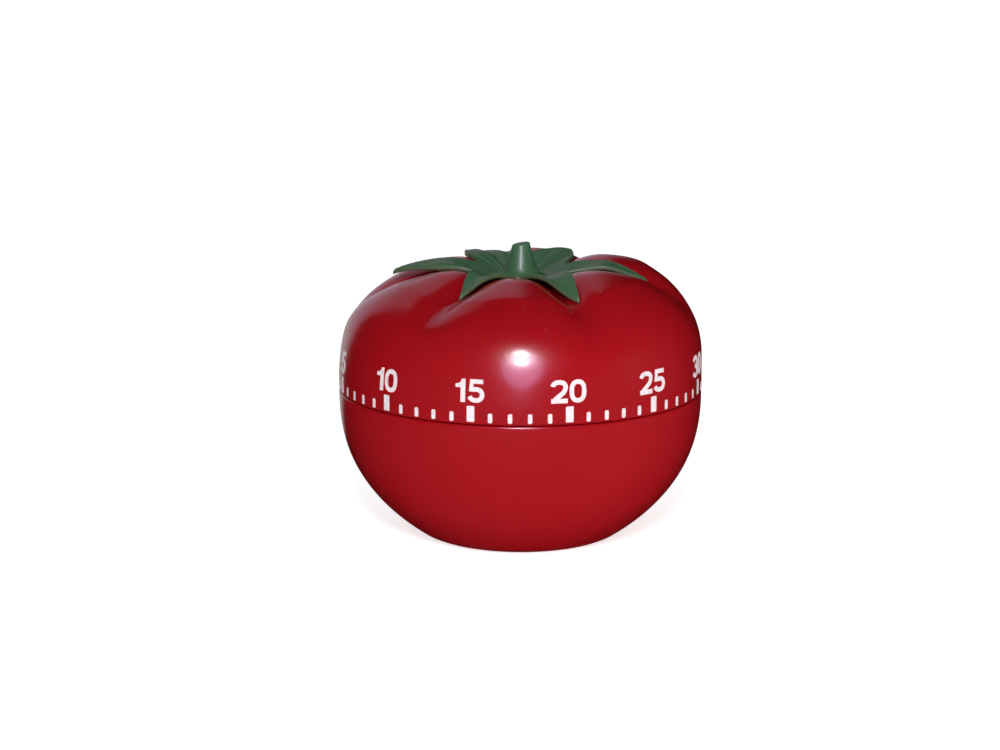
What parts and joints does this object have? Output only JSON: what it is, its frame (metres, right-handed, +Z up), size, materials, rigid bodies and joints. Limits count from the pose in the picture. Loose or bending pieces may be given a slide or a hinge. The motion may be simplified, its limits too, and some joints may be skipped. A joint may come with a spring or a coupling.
{
  "type": "kitchen timer",
  "caption": "Tomato-shaped wind-up kitchen timer: lobed dial half with green calyx and printed minute scale turns on a rounded body over a spring movement and bell.",
  "frame": {"origin": "centre of the foot ring's resting plane, on the dial's turning axis", "axes": "+Z is up along the dial's axis; the index mark on the body and the scale's zero at rest are at -Y"},
  "size_m": [0.07, 0.07, 0.0565],
  "materials": {
    "red_plastic": "deep red glossy moulded plastic",
    "green_plastic": "blue-green moulded plastic, semi-gloss",
    "brass": "stamped brass, lightly oiled",
    "steel": "turned and stamped steel",
    "zinc_plate": "zinc-plated steel",
    "spring_steel": "blued spring steel",
    "bell_steel": "nickel-plated steel bell"
  },
  "bodies": {
    "base": {"lower_shell": "red_plastic", "base_screw_1": "zinc_plate", "base_screw_2": "zinc_plate", "base_screw_3": "zinc_plate", "bell": "bell_steel", "bell_screw": "zinc_plate", "lower_plate": "zinc_plate", "upper_plate": "zinc_plate", "pillar_1": "steel", "pillar_2": "steel", "pillar_3": "steel", "pillar_4": "steel", "pillar_nut_1": "zinc_plate", "pillar_nut_2": "zinc_plate", "pillar_nut_3": "zinc_plate", "pillar_nut_4": "zinc_plate", "trip_post": "steel"},
    "dial": {"dial_shell": "red_plastic", "calyx": "green_plastic", "center_arbor": "steel", "ratchet_wheel": "steel", "trip_cam": "steel", "mainspring": "spring_steel"},
    "great_wheel": {"great_wheel": "brass", "click_rivet": "steel", "click_spring": "spring_steel"},
    "click": {"click": "steel"},
    "second_wheel": {"second_arbor": "steel", "second_wheel": "brass"},
    "third_wheel": {"third_arbor": "steel", "third_wheel": "brass"},
    "escape_wheel": {"escape_arbor": "steel", "escape_wheel": "brass"},
    "pallets": {"pallet_arbor": "steel", "pallet_lever": "brass", "pallet_lever_pin_1": "steel", "pallet_lever_pin_2": "steel", "inertia_bar": "zinc_plate"},
    "barrel": {"barrel_wheel": "brass", "spring_barrel": "brass"},
    "alarm_wheel": {"alarm_arbor": "steel", "alarm_wheel": "brass"},
    "hammer": {"hammer_arbor": "steel", "hammer_lever": "brass", "hammer_lever_pin_1": "steel", "hammer_lever_pin_2": "steel", "hammer_arm": "steel", "hammer_head": "steel"},
    "trip_lever": {"trip_lever": "steel"}
  },
  "joints": [
    {"name": "dial_turn", "type": "hinge", "parent": "base", "child": "dial", "pos_m": [0, 0, 0.0285], "axis": [0, 0, 1], "range_deg": [-360, 0], "deforming": ["mainspring"]},
    {"name": "great_wheel_turn", "type": "hinge", "parent": "base", "child": "great_wheel", "pos_m": [0, 0, 0.0233], "axis": [0, 0, 1], "range_deg": [-360, 0]},
    {"name": "click_swing", "type": "hinge", "parent": "great_wheel", "child": "click", "pos_m": [0.0052, 0.0054, 0.0221], "axis": [0, 0, 1], "range_deg": [0, 10], "deforming": ["click_spring"]},
    {"name": "second_wheel_turn", "type": "hinge", "parent": "base", "child": "second_wheel", "pos_m": [0, 0.0168, 0.0205], "axis": [0, 0, 1], "range_deg": [0, 2160]},
    {"name": "third_wheel_turn", "type": "hinge", "parent": "base", "child": "third_wheel", "pos_m": [-0.01146, 0.0131, 0.0188], "axis": [0, 0, 1], "range_deg": [-12960, 0]},
    {"name": "escape_wheel_turn", "type": "hinge", "parent": "base", "child": "escape_wheel", "pos_m": [-0.01687, 0.00426, 0.0204], "axis": [0, 0, 1], "range_deg": [0, 77760]},
    {"name": "pallet_rock", "type": "hinge", "parent": "base", "child": "pallets", "pos_m": [-0.01958, -0.00258, 0.0215], "axis": [0, 0, 1], "range_deg": [-4, 4]},
    {"name": "barrel_turn", "type": "hinge", "parent": "base", "child": "barrel", "pos_m": [0, 0, 0.015], "axis": [0, 0, 1], "range_deg": [0, 1440]},
    {"name": "alarm_wheel_turn", "type": "hinge", "parent": "base", "child": "alarm_wheel", "pos_m": [0.01377, -0.00795, 0.0188], "axis": [0, 0, 1], "range_deg": [-3050, 0]},
    {"name": "hammer_swing", "type": "hinge", "parent": "base", "child": "hammer", "pos_m": [0.011, -0.01438, 0.02], "axis": [0, 0, 1], "range_deg": [-4, 4]},
    {"name": "trip_lever_swing", "type": "hinge", "parent": "base", "child": "trip_lever", "pos_m": [0.01785, 0.0065, 0.0248], "axis": [0, 0, 1], "range_deg": [-4, 0]}
  ],
  "couplings": [
    {"joint": "great_wheel_turn", "follows": "dial_turn", "ratio": 1},
    {"joint": "second_wheel_turn", "follows": "dial_turn", "ratio": -6},
    {"joint": "third_wheel_turn", "follows": "dial_turn", "ratio": 36},
    {"joint": "escape_wheel_turn", "follows": "dial_turn", "ratio": -216},
    {"joint": "alarm_wheel_turn", "follows": "barrel_turn", "ratio": -2.1176}
  ]
}
